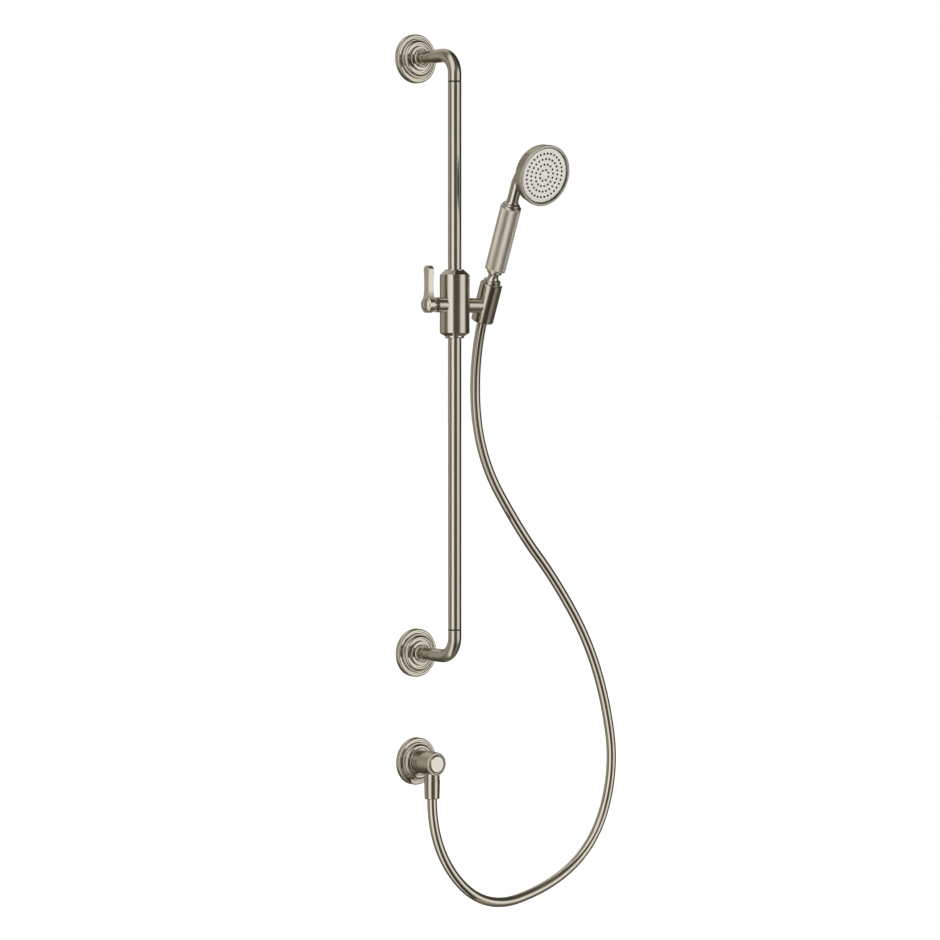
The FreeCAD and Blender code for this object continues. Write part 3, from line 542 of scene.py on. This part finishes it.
# Degrees from the way back to the camera towards its right, and the studio's brightness there.
STUDIO_ROUND = (
    (-180, 0.02), (-150, 0.12), (-128, 0.40), (-100, 0.42), (-75, 0.18), (-59, 0.20), (-50, 1.05),
    (-18, 1.22), (-8, 0.12), (8, 0.095), (32, 0.12), (40, 0.22), (50, 0.96), (80, 0.98), (94, 0.16),
    (105, 0.05), (140, 0.08), (160, 0.03), (180, 0.02),
)
# The same, high above and far below.
STUDIO_HIGH = (
    (-180, 0.45), (-150, 0.60), (-120, 0.40), (-80, 0.12), (-55, 0.85), (-20, 1.00), (5, 1.05),
    (13, 0.10), (30, 0.05), (60, 0.16), (90, 0.06), (120, 0.04), (160, 0.06), (172, 0.25),
    (180, 0.45),
)
STUDIO_LOW = (
    (-180, 0.20), (-150, 0.05), (-120, 0.10), (-80, 0.22), (-55, 0.90), (-20, 0.95), (-6, 0.10),
    (30, 0.04), (48, 0.08), (64, 0.40), (84, 0.22), (100, 0.10), (130, 0.16), (180, 0.22),
)
# How steeply up or down the light of the horizon starts to give way, and where it is gone (sines).
STEEP = (0.12, 0.6)
FLOOR_HALF = 40.0
FLOOR_LEVEL = -0.47
FLOOR_TONES = ((0.86, 0.86, 0.86), (0.88, 0.88, 0.88))
FLOOR_GLOW = 0.85
WHITE = (1.0, 1.0, 1.0, 1.0)
FILL_PLACE = (-1.6, -3.2, 1.6)
FILL_AIM = Vector((0.0, -0.1, 0.4))
FILL_SIZE = 2.0
FILL_POWER = 14.0
FILL_COLOUR = (1.0, 0.98, 0.94)


def studio_ramp(graph, share, brightness):
    """Colours round the horizon: warm where it is dark and near white where it is bright."""
    ramp = graph.node("ValToRGB")
    graph.join(share, ramp.inputs["Fac"])
    stops = ramp.color_ramp.elements
    for number, (degrees, bright) in enumerate(brightness):
        at = degrees / 360.0 + 0.5
        stop = stops[number] if number < 2 else stops.new(at)
        stop.position = at
        pale = min(1.0, bright)
        stop.color = (*[bright * (dark + (light - dark) * pale)
                        for dark, light in zip(DARK, LIGHT)], 1.0)
    return ramp.outputs["Color"]


def make_world():
    """Two soft boxes in a dim tent, with its own light above and below. The camera itself sees
    only white behind the object."""
    world = bpy.data.worlds.new("studio")
    bpy.context.scene.world = world
    world.use_nodes = True
    graph = Graph(world.node_tree)
    graph.tree.nodes.clear()
    way = graph.node("TexCoord").outputs["Generated"]
    right = graph.vector("DOT_PRODUCT", way, CAMERA_RIGHT)
    back = graph.vector("DOT_PRODUCT", way, BACK_TO_CAMERA)
    turn = graph.math("ARCTAN2", right, back)
    share = graph.math("ADD", graph.math("MULTIPLY", turn, 0.5 / math.pi), 0.5)
    rise = graph.vector("DOT_PRODUCT", way, Z)
    colour = studio_ramp(graph, share, STUDIO_ROUND)
    for brightness, sign in ((STUDIO_HIGH, 1.0), (STUDIO_LOW, -1.0)):
        steep = graph.node("MapRange", interpolation_type="SMOOTHSTEP")
        graph.join(graph.math("MULTIPLY", rise, sign), steep.inputs["Value"])
        steep.inputs["From Min"].default_value = STEEP[0]
        steep.inputs["From Max"].default_value = STEEP[1]
        mixed = graph.node("Mix", data_type="RGBA")
        graph.join(steep.outputs["Result"], mixed.inputs["Factor"])
        graph.join(colour, mixed.inputs["A"])
        graph.join(studio_ramp(graph, share, brightness), mixed.inputs["B"])
        colour = mixed.outputs["Result"]
    tent = graph.node("Background")
    graph.join(colour, tent.inputs["Color"])
    pale = graph.node("Background")
    pale.inputs["Color"].default_value = WHITE
    either = graph.node("MixShader")
    graph.join(graph.node("LightPath").outputs["Is Camera Ray"], either.inputs["Fac"])
    graph.join(tent.outputs[0], either.inputs[1])
    graph.join(pale.outputs[0], either.inputs[2])
    graph.join(either.outputs[0], graph.node("OutputWorld").inputs["Surface"])


def make_floor():
    """A pale floor well below the hose's loop, which the camera sees as part of the background."""
    half = FLOOR_HALF
    edges = ((-half, -half), (half, -half), (half, half), (-half, half))
    corners = [(x, y, FLOOR_LEVEL) for x, y in edges]
    floor = mesh_object("floor", corners, [(0, 1, 2, 3)])
    material, graph, shader, place = start_material("pale_floor")
    broad = graph.noise(place, 0.6, 2.0)
    graph.join(graph.tint(broad, *FLOOR_TONES), shader.inputs["Base Color"])
    shader.inputs["Roughness"].default_value = 0.9
    shader.inputs["Emission Color"].default_value = WHITE
    shader.inputs["Emission Strength"].default_value = FLOOR_GLOW
    floor.data.materials.append(material)
    floor.visible_glossy = False


def make_fill():
    """A broad fill beside the camera that lights plastic and is not mirrored in metal."""
    data = bpy.data.lights.new("fill", "AREA")
    data.size = FILL_SIZE
    data.energy = FILL_POWER
    data.color = FILL_COLOUR
    fill = bpy.data.objects.new("fill", data)
    bpy.context.collection.objects.link(fill)
    fill.location = FILL_PLACE
    aim = FILL_AIM - fill.location
    fill.rotation_euler = aim.to_track_quat("-Z", "Y").to_euler()
    fill.visible_glossy = False
    fill.visible_camera = False


make_world()
make_floor()
make_fill()
bpy.context.scene.view_settings.view_transform = "Standard"
